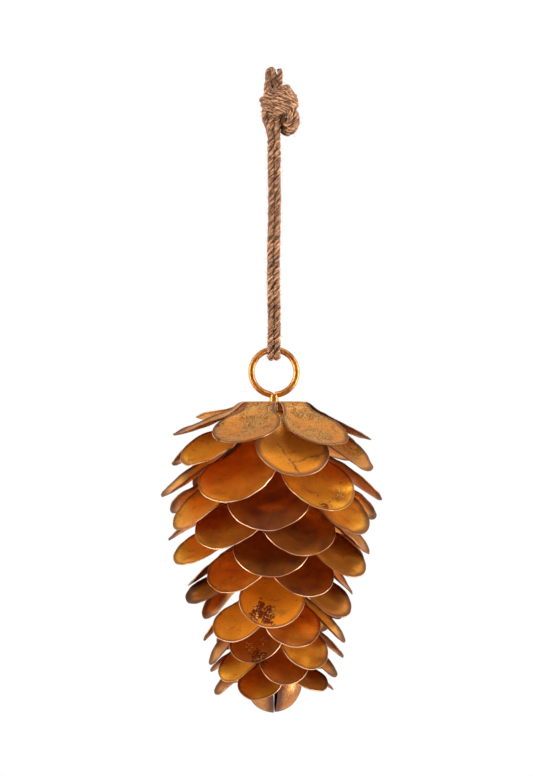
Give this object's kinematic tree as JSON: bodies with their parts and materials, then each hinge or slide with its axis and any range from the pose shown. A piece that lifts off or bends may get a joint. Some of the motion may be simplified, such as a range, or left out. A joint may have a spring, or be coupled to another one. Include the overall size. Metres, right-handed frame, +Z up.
{
  "type": "pine cone ornament",
  "caption": "Hanging pine cone of stacked sheet metal rosettes with round-ended scales, a wire eye at its top and a knotted jute cord.",
  "frame": {"origin": "crown of the small cord loop above the knot, inside the loop, where the ornament hangs", "axes": "+Z up along the spine, away from the cone; the front faces -Y and the ring lies in the XZ plane"},
  "size_m": [0.1279, 0.1259, 0.3743],
  "materials": {
    "copper_sheet": "aged copper lacquer, satin, burnt at the edges",
    "ring_wire": "antique gold, satin",
    "plain_steel": "plain",
    "jute": "natural twisted jute"
  },
  "bodies": {
    "root": {"rosette_01": "copper_sheet", "rosette_02": "copper_sheet", "rosette_03": "copper_sheet", "rosette_04": "copper_sheet", "rosette_05": "copper_sheet", "rosette_06": "copper_sheet", "rosette_07": "copper_sheet", "rosette_08": "copper_sheet", "rosette_09": "copper_sheet", "rosette_10": "copper_sheet", "rosette_11": "copper_sheet", "rosette_12": "copper_sheet", "spacer_01": "plain_steel", "spacer_02": "plain_steel", "spacer_03": "plain_steel", "spacer_04": "plain_steel", "spacer_05": "plain_steel", "spacer_06": "plain_steel", "spacer_07": "plain_steel", "spacer_08": "plain_steel", "spacer_09": "plain_steel", "spacer_10": "plain_steel", "spacer_11": "plain_steel", "bud_cap": "copper_sheet", "end_nut": "plain_steel", "eye_rod": "ring_wire", "hanger_cord_left": "jute", "hanger_cord_right": "jute", "hanger_knot": "jute", "cord_bight": "jute", "cord_end_front": "jute", "cord_end_back": "jute"}
  },
  "joints": []
}
